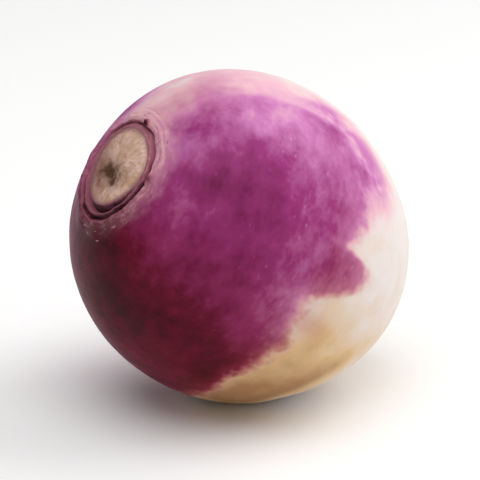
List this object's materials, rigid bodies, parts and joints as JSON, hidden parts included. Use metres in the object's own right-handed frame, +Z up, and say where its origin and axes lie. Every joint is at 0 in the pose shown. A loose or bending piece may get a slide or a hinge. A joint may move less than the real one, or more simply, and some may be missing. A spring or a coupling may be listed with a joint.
{
  "type": "turnip",
  "caption": "Whole purple-top turnip with its leaves cut off at the crown and its taproot trimmed to a stub, lying on its side on a small flat spot.",
  "frame": {"origin": "on the flat spot that the turnip rests on, straight below the middle of the swollen body", "axes": "+Z up from the surface; seen along +Y, with +X to the right, the cut crown looks up and out of the left side at the viewer, and the trimmed tail is behind and below on the right"},
  "size_m": [0.0791, 0.0784, 0.0773],
  "materials": {
    "turnip_skin": "satin"
  },
  "bodies": {
    "root": {"turnip_root": "turnip_skin"}
  },
  "joints": []
}
